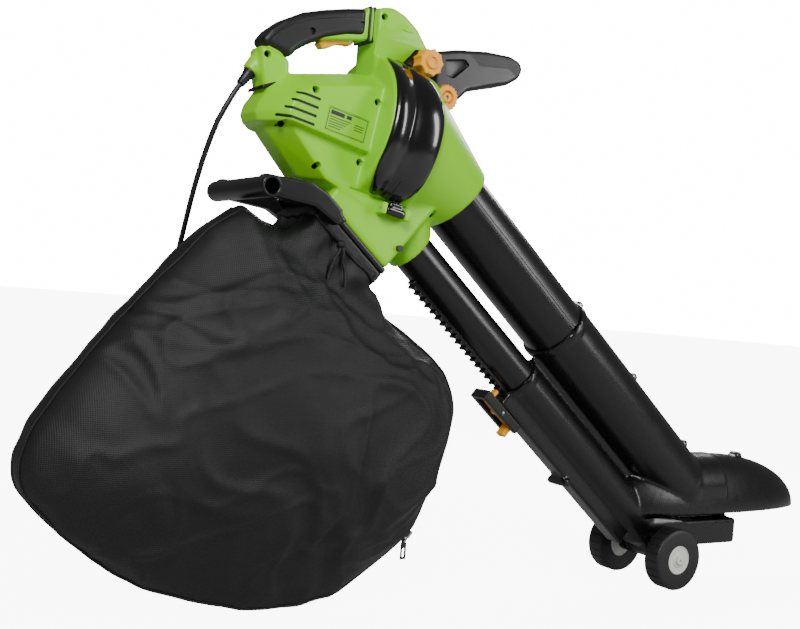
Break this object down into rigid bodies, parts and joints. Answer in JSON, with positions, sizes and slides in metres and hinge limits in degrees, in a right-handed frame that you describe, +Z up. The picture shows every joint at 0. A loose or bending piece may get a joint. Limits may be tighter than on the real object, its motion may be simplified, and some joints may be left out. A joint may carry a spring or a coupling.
{
  "type": "leaf blower and vacuum",
  "caption": "Hand-held electric leaf blower and vacuum with two sliding tubes, a hooded nozzle on wheels, handles, an access cover and a collection bag.",
  "frame": {"origin": "on the floor, under the middle of the whole object without its mains lead", "axes": "+X forward from the bag to the nozzle, +Z up, +Y to the operator's left"},
  "size_m": [1.3116, 0.261, 0.774],
  "materials": {
    "housing_green": "satin moulded ABS",
    "steel": "zinc plated",
    "label": "printed film",
    "soft_black": "overmoulded soft grip",
    "yellow_plastic": "satin moulded",
    "inner_plastic": "moulded",
    "capacitor_film": "film",
    "cord_black": "satin jacket",
    "motor_iron": "stacked laminations",
    "cast_alloy": "die cast",
    "brass": "plain",
    "cover_black": "polished moulded",
    "black_plastic": "satin moulded",
    "collar_rubber": "matt",
    "bag_fabric": "woven polyester",
    "zip_plastic": "moulded",
    "hub_cream": "moulded",
    "tyre_black": "ribbed"
  },
  "bodies": {
    "machine": {"housing_right": "housing_green", "housing_left": "housing_green", "housing_screws": "steel", "rating_plate": "label", "grip_cover": "soft_black", "grip_rings": "soft_black", "trigger_pin": "steel", "trigger_spring": "steel", "switch_body": "inner_plastic", "capacitor": "capacitor_film", "strain_relief": "soft_black", "cord": "cord_black", "plug": "cord_black", "stator": "motor_iron", "front_bearing": "steel", "rear_bearing": "steel", "front_bracket": "cast_alloy", "rear_bracket": "cast_alloy", "brush_holders": "brass", "cover_hinge_pin": "steel", "handle_bolt": "steel", "bag_frame": "black_plastic", "bag_collar": "collar_rubber", "bag": "bag_fabric", "draw_cord": "bag_fabric", "zip_tape": "bag_fabric", "zip_slider": "zip_plastic", "suction_tube": "black_plastic", "blower_tube": "black_plastic"},
    "trigger": {"trigger": "yellow_plastic"},
    "rotor": {"armature": "motor_iron", "motor_shaft": "steel", "cooling_fan": "inner_plastic", "impeller": "inner_plastic", "impeller_nut": "steel"},
    "cover": {"access_cover": "cover_black"},
    "cover_knob": {"cover_knob": "yellow_plastic", "cover_stud": "steel"},
    "front_handle": {"front_handle": "black_plastic", "front_handle_grip": "soft_black"},
    "handle_knob": {"handle_knob": "yellow_plastic"},
    "air_flap": {"air_flap": "inner_plastic", "selector_lever": "black_plastic"},
    "lower_section": {"lower_shell_right": "black_plastic", "lower_shell_left": "black_plastic", "lower_screws": "steel", "latch_block": "black_plastic", "latch_pin": "steel", "latch_spring": "steel", "axle": "steel", "axle_caps": "hub_cream"},
    "latch_lever": {"latch_lever": "yellow_plastic"},
    "wheel_right": {"hub_right": "hub_cream", "tyre_right": "tyre_black"},
    "wheel_left": {"hub_left": "hub_cream", "tyre_left": "tyre_black"},
    "zip_pull": {"zip_pull": "zip_plastic"}
  },
  "joints": [
    {"name": "trigger_pivot", "type": "hinge", "parent": "machine", "child": "trigger", "pos_m": [-0.281, 0, 0.722], "axis": [0, 1, 0], "range_deg": [0, 8], "stiffness_Nm_per_rad": 0.8, "deforming": ["trigger_spring"]},
    {"name": "rotor_spin", "type": "hinge", "parent": "machine", "child": "rotor", "pos_m": [-0.205, 0, 0.605], "axis": [0.9848, 0, -0.1736], "continuous": true},
    {"name": "cover_hinge", "type": "hinge", "parent": "machine", "child": "cover", "pos_m": [-0.22184, -0.061, 0.50947], "axis": [0.9848, 0, -0.1736], "range_deg": [0, 75]},
    {"name": "cover_knob_turn", "type": "hinge", "parent": "cover", "child": "cover_knob", "pos_m": [-0.186, -0.035, 0.707], "axis": [0, -1, 0], "continuous": true},
    {"name": "front_handle_tilt", "type": "hinge", "parent": "machine", "child": "front_handle", "pos_m": [-0.145, 0, 0.671], "axis": [0, 1, 0], "range_deg": [0, 30]},
    {"name": "handle_knob_turn", "type": "hinge", "parent": "machine", "child": "handle_knob", "pos_m": [-0.145, -0.023, 0.671], "axis": [0, -1, 0], "continuous": true},
    {"name": "selector_turn", "type": "hinge", "parent": "machine", "child": "air_flap", "pos_m": [-0.21157, 0, 0.46736], "axis": [0, -1, 0], "range_deg": [0, 88]},
    {"name": "tube_slide", "type": "slide", "parent": "machine", "child": "lower_section", "axis": [0.766, 0, -0.6428], "range_m": [-0.14, 0]},
    {"name": "latch_pivot", "type": "hinge", "parent": "lower_section", "child": "latch_lever", "pos_m": [0.0041, 0, 0.2577], "axis": [0, -1, 0], "range_deg": [0, 6], "stiffness_Nm_per_rad": 0.8},
    {"name": "wheel_right_spin", "type": "hinge", "parent": "lower_section", "child": "wheel_right", "pos_m": [0.31436, -0.0615, 0.046], "axis": [0, 1, 0], "continuous": true},
    {"name": "wheel_left_spin", "type": "hinge", "parent": "lower_section", "child": "wheel_left", "pos_m": [0.31436, 0.0615, 0.046], "axis": [0, 1, 0], "continuous": true},
    {"name": "zip_pull_swing", "type": "hinge", "parent": "machine", "child": "zip_pull", "pos_m": [-0.1347, 0, 0.0811], "axis": [0, 1, 0], "range_deg": [-80, 40]}
  ]
}
